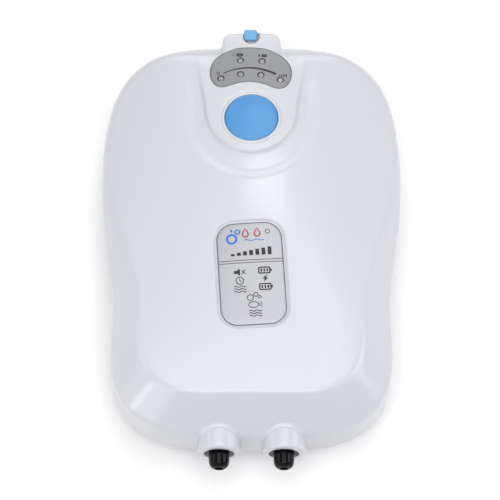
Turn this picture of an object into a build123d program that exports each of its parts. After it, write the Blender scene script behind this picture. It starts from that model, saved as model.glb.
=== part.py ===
from build123d import *
import os
from math import copysign, cos, exp, hypot, pi, radians, sin, sqrt, tan

# Portable aquarium air pump with two outlets, lying on its back with its front face up.
# Millimetres. +X right, +Y towards the charging port, +Z out of the front face.
# The origin is under the middle of the pump, where the rubber feet stand on Z = 0.

# Casing outline: a squarish oval, squarer at its top end, with a waist in its lower half.
OUTLINE_Y = 3.66
TOP_LENGTH = 72.4
TOP_SQUARENESS = 4.15
BOTTOM_LENGTH = 73.5
BOTTOM_SQUARENESS = 3.776
HALF_WIDTH = 53.4
WIDTH_TAPER = 0.011
WAIST_DEPTH = 5.65
WAIST_Y = -22.6
WAIST_SPAN = 27.7
OUTLINE_POINTS = 48

# Casing heights.
REAR_Z = 2.0
PARTING_Z = 13.0
SLOPE_Z = 26.0
SLOPE = tan(radians(48))
SHOULDER_Z = 25.0
SHOULDER_R = 10.0
SHOULDER_FROM_Y = 20.0
SHOULDER_TO_Y = 60.0
ROOF_Z = 41.0
WALL = 2.2
ROOF = 2.4
SHUT_GAP = 0.2
REAR_STEP = 0.3
REAR_ROUND = 10.0

# Domed front face.
CREST_Y = 5.7
CREST_Z = 40.5
CREST_SAG_UP = 0.0011
CREST_SAG_DOWN = 0.00045
CROWN_LOW = 0.0019
CROWN_HIGH = 0.00455
CROWN_FROM_Y = -55.0
CROWN_TO_Y = 30.0

# Raised tongue around the button, and the moat around the tongue.
TONGUE_RISE = 0.6
TONGUE_Y = 48.0
TONGUE_RX = 16.2
TONGUE_RY = 18.9
TONGUE_TOP_HALF = 23.0
MOAT_DEPTH = 0.9
MOAT_Y = 44.0
MOAT_RX = 23.9
MOAT_RY = 25.4
MOAT_TOP_HALF = 25.5
LEG_TOP_Y = 90.0

# Charging-port hump at the top end.
HUMP_HALF = 10.35
HUMP_END_Y = 78.35
HUMP_CORNER = 2.6
HUMP_Z = 18.6
PORT_Z = 24.4
PORT_R = 3.3
NOTCH_R = 2.9
NOTCH_Y = 76.8
NOTCH_Z = 33.3
HINGE_X = 6.5
STRAP_STEM_X = 7.0
STRAP_STEM_R = 0.8
STRAP_Z = 32.2
TAB_X0 = -2.6
TAB_X1 = 2.0
TAB_Y = 75.7
TAB_THICK = 1.7
TAB_TOP_Z = 35.9
COVER_Y0 = HUMP_END_Y + 0.15
COVER_Y1 = 79.85

# Indicator overlay, lamps and button. The overlay's outline and lamps are given on its right-hand
# half, from its own middle, and it sits a little askew.
OVERLAY_X = -0.2
OVERLAY_Y = 62.0
OVERLAY_TURN = -1.9
OVERLAY_EDGE = [
    (0, 10.2), (4.6, 9.9), (8.0, 8.6), (11.2, 6.6), (13.7, 3.7), (14.6, 0),
    (14.0, -3.5), (12.3, -6.1), (9.9, -6.9), (7.2, -6.2), (3.7, -4.9), (0, -4.5),
]
OVERLAY_THICK = 0.4
OVERLAY_GAP = 0.25
LAMPS = [(3.85, 4.45), (3.6, -1.4), (10.5, -3.1)]
LAMP_R = 1.3
LAMP_GAP = 0.2
BUTTON_Y = 42.8
BUTTON_R = 9.3
BUTTON_GAP = 0.3
BUTTON_TOP_Z = 39.5
BUTTON_CROWN = 1.8
BUTTON_SKIRT = 8.2
BUTTON_WALL = 1.4

# Label plate, set a few degrees askew in a shallow recess.
LABEL_Y = -16.5
LABEL_LONG = 37.3
LABEL_WIDE = 22.5
LABEL_CORNER = 6.0
LABEL_TURN = 3.5
LABEL_THICK = 0.4
LABEL_MARGIN = 1.2
LABEL_RECESS = 0.8

# Air outlets.
OUTLET_X = 10.9
OUTLET_Z = 21.4
COLLAR_R = 7.4
COLLAR_BORE_R = 5.15
COLLAR_END_Y = -74.7
COLLAR_FLOOR_Y = -69.9
NOZZLE_R = 3.5
NOZZLE_TIP_R = 2.0
NOZZLE_TIP_Y = -79.85
NOZZLE_BEVEL_Y = -78.1
NOZZLE_BORE_R = 1.4
NOZZLE_BASE_R = 4.0
NOZZLE_GAP = 0.15
FLANGE_R = 4.9
FLANGE_Y = -66.9
HOSE_END_Y = -65.6
BARB_END_Y = -61.5
HOSE_R = 3.0
HOSE_BORE_R = 2.0

# Control board.
BOARD_Z = 28.4
BOARD_THICK = 1.6
BOARD_TOP_Z = BOARD_Z + BOARD_THICK
BOARD_POSTS = [(20.5, 35.0), (20.5, 61.0)]

# Case screws and feet.
CASE_POSTS = [(40.8, 51.0), (35.0, -53.0)]
POST_R = 4.0
SCREW_R = 1.5
SCREW_HEAD_R = 2.8
FEET = [(33.0, 48.0), (27.0, -44.0)]
FOOT_R = 5.0
FOOT_POCKET = 0.6
INLET_SLOTS = 3
INLET_Y = -57.4
INLET_PITCH = 2.6
INLET_SLOT = 1.5

# Battery.
CELL_R = 9.1
CELL_LONG = 65.0
CELL_YS = [37.5, 56.5]
CELL_Z = 14.5
CRADLE_TOP_Z = 12.5

# Pump drive: iron core, coil, and two arms that swing on upright pins.
CHASSIS_Z = 5.7
CHASSIS_TOP_Z = 8.2
CORE_Z0 = 11.0
CORE_Z1 = 21.0
ARM_X = 7.5
ARM_THICK = 2.4
PIN_Y = -46.0
PIN_R = 1.5
BUSH_GAP = 0.03
BUSH_R = 2.6
EYE_R = 3.6
ARM_Z0 = 10.0
ARM_Z1 = 22.0
MAGNET_Y0 = -6.0
MAGNET_Y1 = -2.0

# Pump heads.
HEAD_Y = -24.0
HEAD_Z = 17.6
HEAD_FACE_X = 17.9
HEAD_BACK_X = 33.0
CHAMBER_R = 7.0
VALVE_X = 27.0
VALVE_Z = 19.0
VALVE_PITCH = 6.0
BARB_X = 29.5

os.makedirs("parts", exist_ok=True)


def save(node, *solids):
    shape = solids[0] if len(solids) == 1 else Compound(list(solids))
    export_step(shape, f"parts/{node}.step")


def block(x0, x1, y0, y1, z0, z1):
    centre = Pos((x0 + x1) / 2, (y0 + y1) / 2, (z0 + z1) / 2)
    return centre * Box(x1 - x0, y1 - y0, z1 - z0)


def post(x, y, z0, z1, radius):
    return Pos(x, y, (z0 + z1) / 2) * Cylinder(radius, z1 - z0)


def rod_x(x0, x1, y, z, radius):
    return Pos((x0 + x1) / 2, y, z) * Rot(0, 90, 0) * Cylinder(radius, abs(x1 - x0))


def rod_y(x, y0, y1, z, radius):
    return Pos(x, (y0 + y1) / 2, z) * Rot(90, 0, 0) * Cylinder(radius, abs(y1 - y0))


def turned(points, axis):
    """Solid of revolution of a closed profile about an axis."""
    return revolve(make_face(Polyline(*points, close=True)), axis)


def both_sides(solid):
    return solid, mirror(solid, about=Plane.YZ)


def save_pair(node, right_solid):
    right, left = both_sides(right_solid)
    save(f"{node}_right", right)
    save(f"{node}_left", left)


def spread(low, high, count):
    return [low + (high - low) * i / (count - 1) for i in range(count)]


def ramp(value, low, high):
    """0 below low, 1 above high, and a smooth rise between."""
    t = min(1.0, max(0.0, (value - low) / (high - low)))
    return t * t * (3 - 2 * t)


# Casing surfaces.


def outline_xy(turn, inset_at):
    """A point of the casing's outline, inset by inset_at(y)."""
    c, s = cos(turn), sin(turn)
    length, squareness = (TOP_LENGTH, TOP_SQUARENESS) if s > 0 else (BOTTOM_LENGTH, BOTTOM_SQUARENESS)
    along = copysign(abs(s) ** (2 / squareness), s)
    inset = inset_at(OUTLINE_Y + length * along)
    y = OUTLINE_Y + (length - inset) * along
    waist = WAIST_DEPTH * exp(-(((y - WAIST_Y) / WAIST_SPAN) ** 2))
    half = HALF_WIDTH - WIDTH_TAPER * y - waist - inset
    return half * copysign(abs(c) ** (2 / squareness), c), y


def outline(z, inset_at):
    turns = [2 * pi * i / OUTLINE_POINTS for i in range(OUTLINE_POINTS)]
    points = [Vector(*outline_xy(turn, inset_at), z) for turn in turns]
    return make_face(Spline(*points, periodic=True))


def plug(z0, z1, inset):
    """Straight prism of the outline."""
    return extrude(outline(z0, lambda y: inset), z1 - z0)


def side_inset(z, y, wall):
    """How far the front casing's side leans in at height z: a slope below, a shoulder above."""
    slope = max(0.0, (z - SLOPE_Z) / SLOPE)
    rise = max(0.0, z - SHOULDER_Z)
    shoulder = SHOULDER_R - sqrt(SHOULDER_R**2 - rise**2) if rise < SHOULDER_R else slope
    share = ramp(y, SHOULDER_FROM_Y, SHOULDER_TO_Y)
    return wall + slope * (1 - share) + shoulder * share


def side_form(z0, wall):
    """The front casing without its domed roof, shrunk by a wall thickness."""
    lowered = 0.4 * wall
    levels = [z0 + lowered, SLOPE_Z, 28.5, 31.0, 33.0, 34.5, ROOF_Z]
    rings = [
        outline(z - lowered, lambda y, z=z: side_inset(z, y, wall)) for z in levels
    ]
    return loft(rings, ruled=True)


def dome_height(x, y):
    sag = CREST_SAG_UP if y > CREST_Y else CREST_SAG_DOWN
    share = ramp(y, CROWN_FROM_Y, CROWN_TO_Y)
    crown = CROWN_LOW + (CROWN_HIGH - CROWN_LOW) * share
    return CREST_Z - sag * (y - CREST_Y) ** 2 - crown * x * x


def above_dome(rise):
    """Everything above the domed roof lifted by rise."""
    grid = [
        [Vector(x, y, dome_height(x, y) + rise) for x in spread(-60, 60, 9)]
        for y in spread(-90, 90, 15)
    ]
    skin = Face.make_surface_from_array_of_points(grid)
    return extrude(skin, amount=45, dir=(0, 0, 1))


def tongue_face(centre_y, rx, ry, top_half):
    """U shape: a half ellipse below and two spreading legs up to the top end."""
    bottom = EllipticalCenterArc((0, centre_y), rx, ry, start_angle=180, arc_size=180)
    legs = Polyline((rx, centre_y), (top_half, LEG_TOP_Y), (-top_half, LEG_TOP_Y), (-rx, centre_y))
    return make_face([*bottom.edges(), *legs.edges()])


def hump_face():
    """Port hump seen from the front, with rounded outer corners."""
    end, half, r = HUMP_END_Y, HUMP_HALF, HUMP_CORNER
    box = Pos(0, end - 10) * Rectangle(2 * half, 20)
    return fillet(box.vertices().group_by(Axis.Y)[-1], r)


def label_face(margin):
    shape = RectangleRounded(
        LABEL_WIDE + 2 * margin, LABEL_LONG + 2 * margin, LABEL_CORNER + margin
    )
    return Pos(0, LABEL_Y) * Rot(0, 0, LABEL_TURN) * shape


def upright(face, z0=20.0, z1=50.0):
    return extrude(Pos(0, 0, z0) * face, z1 - z0)


def on_overlay(shape):
    """Puts something drawn about the overlay's own middle in its place."""
    return Pos(OVERLAY_X, OVERLAY_Y) * Rot(0, 0, OVERLAY_TURN) * shape


def overlay_face(grow=0.0):
    """Bean shape of the overlay, with each point of its edge moved outwards by grow."""
    left = [(-x, y) for x, y in reversed(OVERLAY_EDGE[1:-1])]
    points = OVERLAY_EDGE + left
    grown = []
    for i, (x, y) in enumerate(points):
        behind, ahead = points[i - 1], points[(i + 1) % len(points)]
        dx, dy = ahead[0] - behind[0], ahead[1] - behind[1]
        step = grow / hypot(dx, dy)
        grown.append((x - dy * step, y + dx * step))
    return on_overlay(make_face(Spline(*grown, periodic=True)))


lamp_places = [on_overlay(Pos(side * x, y)).position for x, y in LAMPS for side in (-1, 1)]
post_places = [(side * x, y) for x, y in CASE_POSTS for side in (-1, 1)]
foot_places = [(side * x, y) for x, y in FEET for side in (-1, 1)]
board_places = [(side * x, y) for x, y in BOARD_POSTS for side in (-1, 1)]

roof = above_dome(0)
tongue_top = above_dome(TONGUE_RISE)
moat_floor = above_dome(-MOAT_DEPTH)
ceiling = above_dome(-ROOF)

tongue = tongue_face(TONGUE_Y, TONGUE_RX, TONGUE_RY, TONGUE_TOP_HALF)
moat = tongue_face(MOAT_Y, MOAT_RX, MOAT_RY, MOAT_TOP_HALF) - tongue


# Front shell.


def seal_groove(z0, z1):
    return plug(z0, z1, 0.85) - plug(z0, z1, 1.75)


def port_cuts():
    """Charging port: a round hole in the hump's end, a socket pocket and a finger notch."""
    return [
        block(-4.7, 4.7, 60, 75.8, PORT_Z - 4.4, PORT_Z + 3.8),
        rod_y(0, 75, 90, PORT_Z, PORT_R),
        post(0, NOTCH_Y, NOTCH_Z, 50, NOTCH_R),
        block(-NOTCH_R, NOTCH_R, NOTCH_Y, 90, NOTCH_Z, 50),
        rod_y(STRAP_STEM_X, 76.6, 90, PORT_Z, STRAP_STEM_R),
    ]


def outlet_cuts(x):
    """A recessed collar with a hole for the nozzle in its floor."""
    return [
        rod_y(x, -90, COLLAR_FLOOR_Y, OUTLET_Z, COLLAR_BORE_R),
        rod_y(x, -90, -60, OUTLET_Z, NOZZLE_BASE_R + NOZZLE_GAP),
    ]


def roof_cuts():
    """Button and lamp holes, and the shallow seats of the overlay and the label."""
    cuts = [post(place.X, place.Y, 25, 50, LAMP_R + LAMP_GAP) for place in lamp_places]
    cuts.append(post(0, BUTTON_Y, 25, 50, BUTTON_R + BUTTON_GAP))
    cuts.append(upright(overlay_face(OVERLAY_GAP)) & above_dome(TONGUE_RISE - OVERLAY_THICK))
    cuts.append(upright(label_face(LABEL_MARGIN)) & above_dome(-LABEL_RECESS))
    return cuts


def front_shell():
    bottom = PARTING_Z + SHUT_GAP / 2
    lip = [post(x, y, bottom, 60, POST_R) for x, y in post_places]
    hangers = [post(x, y, BOARD_TOP_Z, 60, 2.6) for x, y in board_places]
    bores = [post(x, y, PARTING_Z - 1, 27, SCREW_R) for x, y in post_places]
    bores += [post(x, y, BOARD_TOP_Z - 1, BOARD_TOP_Z + 3, 0.9) for x, y in board_places]

    # The outside: sides under a domed roof with a moat, a tongue and a hump.
    sides = side_form(bottom, 0)
    tongue_block = (sides & upright(tongue)) - tongue_top
    hump = extrude(Pos(0, 0, HUMP_Z) * hump_face(), 30) - tongue_top
    collars = [rod_y(x, COLLAR_END_Y, -50, OUTLET_Z, COLLAR_R) for x in (-OUTLET_X, OUTLET_X)]
    outer = sides - [roof, upright(moat) & moat_floor]
    outer = outer + [tongue_block, hump, *collars]

    # The inside, with posts that hang from the roof.
    cavity = side_form(PARTING_Z - 5, WALL) - [ceiling, *lip, *hangers]
    cuts = bores + roof_cuts() + port_cuts() + outlet_cuts(-OUTLET_X) + outlet_cuts(OUTLET_X)
    return outer - [cavity, seal_groove(PARTING_Z - 1, PARTING_Z + 0.8), *cuts]


# Rear shell.


def rear_form(inset, z_floor, z_top):
    """Tray shape with a rounded lower edge."""
    drops = [1.0, 0.62, 0.3, 0.08]
    rings = [outline(z_top, lambda y: inset)]
    for drop in [0.0, *reversed(drops)]:
        lean = REAR_ROUND * (1 - sqrt(1 - drop**2)) * 0.85
        z = z_floor + REAR_ROUND * (1 - drop) * 0.85
        rings.append(outline(z, lambda y, lean=lean: inset + lean))
    return loft(rings, ruled=True)


def rear_shell():
    top = PARTING_Z - SHUT_GAP / 2
    posts = [post(x, y, REAR_Z + 1, top, POST_R) for x, y in post_places]
    cavity = rear_form(REAR_STEP + WALL, REAR_Z + WALL, PARTING_Z + 5) - posts
    cuts = [seal_groove(PARTING_Z - 0.8, PARTING_Z + 1)]
    for x, y in post_places:
        cuts.append(post(x, y, 0, REAR_Z + 4, SCREW_HEAD_R + 0.3))
        cuts.append(post(x, y, 0, PARTING_Z + 1, SCREW_R + 0.15))
    for x, y in foot_places:
        cuts.append(post(x, y, 0, REAR_Z + FOOT_POCKET, FOOT_R))
    for row in range(INLET_SLOTS):
        y = INLET_Y + INLET_PITCH * row
        cuts.append(block(-7, 7, y, y + INLET_SLOT, 0, 5))
    return rear_form(REAR_STEP, REAR_Z, top) - [cavity, *cuts]


save("front_shell", front_shell())
save("rear_shell", rear_shell())
save(
    "case_seal",
    plug(PARTING_Z - 0.75, PARTING_Z + 0.75, 0.9) - plug(PARTING_Z - 0.75, PARTING_Z + 0.75, 1.7),
)

# Case screws and feet.


def pan_screw(x, y, z0, z1, head_r, head_h, shank_r):
    """Screw with its head at z0 and its shank up to z1."""
    screw = post(x, y, z0, z0 + head_h, head_r) + post(x, y, z0 + head_h, z1, shank_r)
    screw -= block(x - head_r, x + head_r, y - 0.4, y + 0.4, z0 - 1, z0 + 0.8)
    screw -= block(x - 0.4, x + 0.4, y - head_r, y + head_r, z0 - 1, z0 + 0.8)
    return screw


save("case_screws", *[pan_screw(x, y, 3.8, 26, SCREW_HEAD_R, 2.2, SCREW_R) for x, y in post_places])


def foot(x, y):
    pad = post(x, y, 0, REAR_Z + FOOT_POCKET, FOOT_R)
    return fillet(pad.edges().group_by(Axis.Z)[0], 0.8)


save("rubber_feet", *[foot(x, y) for x, y in foot_places])
save("inlet_foam", block(-9, 9, -58.3, -50.2, REAR_Z + WALL, REAR_Z + WALL + 3))

# Front face: overlay, lamps, label and button.


def overlay():
    sheet = upright(overlay_face()) & above_dome(TONGUE_RISE - OVERLAY_THICK)
    sheet -= above_dome(TONGUE_RISE + 0.05)
    return sheet - [post(place.X, place.Y, 20, 50, LAMP_R + 0.05) for place in lamp_places]


def lamp(place):
    """Round lamp that stands on the board and ends in a dome just under the overlay."""
    x, y = place.X, place.Y
    top = dome_height(x, y) + TONGUE_RISE - 0.25
    body = post(x, y, BOARD_TOP_Z, top, LAMP_R)
    body += post(x, y, BOARD_TOP_Z, BOARD_TOP_Z + 1, LAMP_R + 0.35)
    return fillet(body.edges().group_by(Axis.Z)[-1], 0.5)


def label():
    return (upright(label_face(0)) & above_dome(-LABEL_RECESS)) - above_dome(LABEL_THICK - LABEL_RECESS)


def power_button():
    """Cap with a guide skirt, a stop flange and a middle post that works the switch."""
    low = BUTTON_TOP_Z - BUTTON_SKIRT
    inner = BUTTON_R - BUTTON_WALL
    cap = post(0, BUTTON_Y, low, BUTTON_TOP_Z, BUTTON_R)
    cap = fillet(cap.edges().group_by(Axis.Z)[-1], 0.6)
    cap += post(0, BUTTON_Y, low, low + 1.2, BUTTON_R + 1.2)
    cap -= post(0, BUTTON_Y, low - 1, BUTTON_TOP_Z - BUTTON_CROWN, inner)
    return cap + post(0, BUTTON_Y, low + 4.2, BUTTON_TOP_Z - 1.5, 2.2)


save("indicator_overlay", overlay())
save("indicator_lamps", *[lamp(place) for place in lamp_places])
save("label_plate", label())
save("power_button", power_button())


def tact_switch():
    body = block(-3, 3, BUTTON_Y - 3, BUTTON_Y + 3, BOARD_TOP_Z, BOARD_TOP_Z + 3.2)
    return body + post(0, BUTTON_Y, BOARD_TOP_Z + 3.2, BOARD_TOP_Z + 4.0, 1.6)


def button_spring():
    """Coil spring that stands on the board and carries the button's roof."""
    height = BUTTON_TOP_Z - BUTTON_CROWN - BOARD_TOP_Z - 0.8
    path = Helix(pitch=height / 4, height=height, radius=5.6, center=(0, BUTTON_Y, BOARD_TOP_Z + 0.4))
    section = Plane(path @ 0, z_dir=path % 0) * Circle(0.35)
    return sweep(section, path=path, is_frenet=True)


save("tact_switch", tact_switch())
save("button_spring", button_spring())

# Control board, its parts and the charging socket.


def control_board():
    board = block(-23, 23, 30, 70.3, BOARD_Z, BOARD_TOP_Z)
    for x, y in board_places:
        board -= post(x, y, 20, 40, 1.1)
    return board


save("control_board", control_board())
save(
    "board_screws",
    *[pan_screw(x, y, BOARD_Z - 1.2, BOARD_TOP_Z + 2.8, 2.0, 1.2, 0.9) for x, y in board_places],
)
save(
    "board_components",
    post(-16, 45, BOARD_Z - 4.4, BOARD_Z, 3.6),
    post(16, 48, BOARD_Z - 4.6, BOARD_Z, 2.5),
    post(16, 42, BOARD_Z - 4.6, BOARD_Z, 2.5),
    block(-8, -3, 50, 56, BOARD_Z - 1.6, BOARD_Z),
    block(3, 11, 36, 41, BOARD_Z - 1.8, BOARD_Z),
)


def charging_socket():
    """Barrel socket behind the hump's end wall, with its centre pin."""
    body = block(-4.5, 4.5, 66, 75.6, PORT_Z - 4.2, PORT_Z + 3.6)
    body -= rod_y(0, 68, 80, PORT_Z, 2.8)
    return body + rod_y(0, 67, 74.3, PORT_Z, 0.9)


save("charging_socket", charging_socket())

# Rubber charging cover, which swings on its strap about an upright line at HINGE_X.


def charging_cover():
    """Round lid with a plug, a pull tab in the finger notch and a strap that slopes down."""
    lid = rod_y(0, COVER_Y0, COVER_Y1 - 0.2, PORT_Z, 4.2)
    lid += rod_y(0, 76.4, COVER_Y0 + 0.1, PORT_Z, 2.4)
    neck = block(TAB_X0, TAB_X1, COVER_Y0, COVER_Y1, PORT_Z, TAB_TOP_Z)
    tab = block(TAB_X0, TAB_X1, TAB_Y, COVER_Y1, TAB_TOP_Z - TAB_THICK, TAB_TOP_Z)
    far = HINGE_X - 0.9
    slope = Polyline((0, 35.4), (far, STRAP_Z), (far, STRAP_Z - 1.7), (0, 33.7), close=True)
    face = make_face(Plane.XZ.offset(-COVER_Y1 + 0.2) * slope)
    strap = extrude(face, COVER_Y1 - COVER_Y0 - 0.3, dir=(0, -1, 0))
    return lid + neck + tab + strap


def cover_anchor():
    """End of the strap and the stem that holds it in the shell."""
    end = block(HINGE_X - 0.6, HINGE_X + 1.6, COVER_Y0 - 0.1, COVER_Y1 - 0.25, PORT_Z - 1, STRAP_Z)
    return end + rod_y(STRAP_STEM_X, 76.8, COVER_Y0, PORT_Z, STRAP_STEM_R)


save("charging_cover", charging_cover())
save("cover_anchor", cover_anchor())

# Air outlets: nozzles and hoses.


def nozzle():
    """Turned nozzle with a bevelled tip, a flange inside the wall and a hose barb."""
    profile = [
        (NOZZLE_BORE_R, NOZZLE_TIP_Y), (NOZZLE_TIP_R, NOZZLE_TIP_Y), (NOZZLE_R, NOZZLE_BEVEL_Y),
        (NOZZLE_R, COLLAR_FLOOR_Y), (NOZZLE_BASE_R, COLLAR_FLOOR_Y), (NOZZLE_BASE_R, FLANGE_Y),
        (FLANGE_R, FLANGE_Y), (FLANGE_R, HOSE_END_Y), (HOSE_BORE_R, HOSE_END_Y), (HOSE_BORE_R, BARB_END_Y),
        (NOZZLE_BORE_R, BARB_END_Y),
    ]
    solid = turned(profile, Axis.Y)
    return Pos(OUTLET_X, 0, OUTLET_Z) * solid


def hose():
    z = OUTLET_Z
    corners = [(BARB_X, -36.3, z), (BARB_X, -46, z), (OUTLET_X, -54.5, z), (OUTLET_X, -65.5, z)]
    path = FilletPolyline(*corners, radius=7)
    start = Plane(corners[0], z_dir=(0, -1, 0))
    return sweep(start * (Circle(HOSE_R) - Circle(HOSE_BORE_R)), path=path)


save_pair("outlet_nozzle", nozzle())
save_pair("air_hose", hose())

# Battery: two cells side by side in a cradle, with end contacts.


def cell(y):
    can = rod_x(-CELL_LONG / 2, CELL_LONG / 2 - 1, y, CELL_Z, CELL_R)
    return can + rod_x(CELL_LONG / 2 - 1.5, CELL_LONG / 2, y, CELL_Z, 2.8)


def battery_cradle():
    y0, y1 = CELL_YS[0] - CELL_R - 1.6, CELL_YS[1] + CELL_R + 1.6
    cradle = block(-36.5, 36.5, y0, y1, REAR_Z + WALL, CRADLE_TOP_Z)
    cradle &= rear_form(REAR_STEP + WALL + 0.15, REAR_Z + WALL, PARTING_Z + 5)
    for y in CELL_YS:
        cradle -= rod_x(-34.2, 34.2, y, CELL_Z, CELL_R + 0.1)
    return cradle


def contact(x0, x1, y0, y1):
    return block(x0, x1, y0, y1, CRADLE_TOP_Z + 0.3, CELL_Z + 4)


save("battery_cell_lower", cell(CELL_YS[0]))
save("battery_cell_upper", cell(CELL_YS[1]))
save("battery_cradle", battery_cradle())
save(
    "battery_contacts",
    contact(-32.9, -32.6, CELL_YS[0] - 4, CELL_YS[1] + 4),
    contact(32.6, 32.9, CELL_YS[0] - 4, CELL_YS[0] + 4),
    contact(32.6, 32.9, CELL_YS[1] - 4, CELL_YS[1] + 4),
)

# Pump chassis on soft mounts.
mount_places = [(side * x, y) for x, y in ((31.0, 20.0), (31.0, -44.0)) for side in (-1, 1)]


def chassis():
    plate = block(-35.8, 35.8, -50, 25, CHASSIS_Z, CHASSIS_TOP_Z)
    plate = fillet(plate.edges().filter_by(Axis.Z), 6)
    plate -= block(-11.2, 11.2, 0.4, 17.6, 0, 20)
    for side in (-1, 1):
        inner, outer = sorted((side * 11.4, side * 16.4))
        plate += block(inner, outer, 2, 24, CHASSIS_TOP_Z, CORE_Z0)
        plate += post(side * ARM_X, PIN_Y, CHASSIS_TOP_Z, ARM_Z0 - 0.3, EYE_R)
        plate -= post(side * ARM_X, PIN_Y, CHASSIS_Z, 20, PIN_R)
    for x, y in mount_places:
        plate -= post(x, y, 0, 20, 1.6)
    return plate


def soft_mount(x, y):
    return post(x, y, REAR_Z + WALL, CHASSIS_Z, 3.4) - post(x, y, 0, 20, 1.6)


save("pump_chassis", chassis())
save("soft_mounts", *[soft_mount(x, y) for x, y in mount_places])
save(
    "chassis_screws",
    *[post(x, y, CHASSIS_TOP_Z, CHASSIS_TOP_Z + 1.6, 2.8) + post(x, y, REAR_Z + WALL, CHASSIS_TOP_Z, 1.5)
      for x, y in mount_places],
)


# Electromagnet.


def iron_core():
    core = block(-16, 16, 0, 24, CORE_Z0, CORE_Z1)
    for side in (-1, 1):
        inner, outer = sorted((side * 4, side * 11))
        core -= block(inner, outer, -1, 18, CORE_Z0 - 1, CORE_Z1 + 1)
    return core


def coil_bobbin():
    tube = block(-5, 5, 1, 17, 10, 22)
    for y in (1, 15.8):
        tube += block(-10.7, 10.7, y, y + 1.2, 5, 27)
    return tube - block(-4.1, 4.1, 0, 18, CORE_Z0 - 0.1, CORE_Z1 + 0.1)


def coil_winding():
    ring = block(-10.2, 10.2, 2.2, 15.8, 5.4, 26.6)
    ring = fillet(ring.edges().filter_by(Axis.Y), 3)
    return ring - block(-5, 5, 0, 18, 10, 22)


save("iron_core", iron_core())
save("coil_bobbin", coil_bobbin())
save("coil_winding", coil_winding())

# Swing arms, drawn on the right-hand side.


def swing_arm():
    arm = block(ARM_X - ARM_THICK / 2, ARM_X + ARM_THICK / 2, PIN_Y, MAGNET_Y0, ARM_Z0, ARM_Z1)
    arm += post(ARM_X, PIN_Y, ARM_Z0, ARM_Z1, EYE_R)
    arm += block(ARM_X - 4, ARM_X + 4, MAGNET_Y0 - 1.4, MAGNET_Y0, ARM_Z0, ARM_Z1)
    arm -= post(ARM_X, PIN_Y, 0, 40, BUSH_R)
    return arm - rod_x(0, 20, HEAD_Y, HEAD_Z, 1.05)


def arm_bush():
    return post(ARM_X, PIN_Y, ARM_Z0, ARM_Z1, BUSH_R) - post(ARM_X, PIN_Y, 0, 40, PIN_R + BUSH_GAP)


def diaphragm():
    """Rubber cup: a clamped rim, a cone and a boss that the arm's screw holds."""
    profile = [
        (8.9, 1.1), (8.9, 3), (13.4, 3), (13.4, 5.2), (16.6, 7.4), (16.6, 9.2), (HEAD_FACE_X, 9.2),
        (HEAD_FACE_X, 7.0), (14.8, 4.6), (14.8, 0), (13.8, 0), (13.8, 1.1),
    ]
    return Pos(0, HEAD_Y, HEAD_Z) * turned(profile, Axis.X)


def diaphragm_screw():
    inner = ARM_X - ARM_THICK / 2
    return rod_x(inner - 1.4, inner, HEAD_Y, HEAD_Z, 2) + rod_x(inner, 13.6, HEAD_Y, HEAD_Z, 1)


save_pair("swing_arm", swing_arm())
save_pair("arm_magnet", block(ARM_X - 3.5, ARM_X + 3.5, MAGNET_Y0, MAGNET_Y1, 10.5, 21.5))
save_pair("arm_bush", arm_bush())
save_pair("arm_pin", post(ARM_X, PIN_Y, CHASSIS_Z, ARM_Z1 + 2, PIN_R))
save_pair("diaphragm", diaphragm())
save_pair("diaphragm_screw", diaphragm_screw())


# Pump heads.


def pump_head():
    """Chamber towards the diaphragm, two valve pockets behind it and an outlet barb."""
    head = block(HEAD_FACE_X, HEAD_BACK_X, HEAD_Y - 12, HEAD_Y + 12, CHASSIS_TOP_Z, 27)
    head += rod_y(BARB_X, HEAD_Y - 17, HEAD_Y - 11, OUTLET_Z, HOSE_BORE_R)
    head -= rod_x(HEAD_FACE_X - 1, 24, HEAD_Y, HEAD_Z, CHAMBER_R)
    for y in (HEAD_Y - VALVE_PITCH, HEAD_Y + VALVE_PITCH):
        head -= rod_x(VALVE_X, HEAD_BACK_X + 1, y, VALVE_Z, 4)
        head -= rod_x(20, VALVE_X + 1, y, VALVE_Z - 0.5, 0.9)
    return head - rod_y(BARB_X, HEAD_Y - 18, HEAD_Y - VALVE_PITCH, OUTLET_Z, 1.2)


def head_cover():
    cover = block(HEAD_BACK_X, HEAD_BACK_X + 2.4, HEAD_Y - 12, HEAD_Y + 12, CHASSIS_TOP_Z, 27)
    return cover - rod_x(HEAD_BACK_X - 1, HEAD_BACK_X + 5, HEAD_Y + VALVE_PITCH, VALVE_Z, 1.5)


def flap_valves():
    flaps = [
        rod_x(VALVE_X, VALVE_X + 0.6, y, VALVE_Z, 3.8)
        for y in (HEAD_Y - VALVE_PITCH, HEAD_Y + VALVE_PITCH)
    ]
    return Compound(flaps)


save_pair("pump_head", pump_head())
save_pair("head_cover", head_cover())
save_pair("flap_valves", flap_valves())
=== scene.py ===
import math

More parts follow.
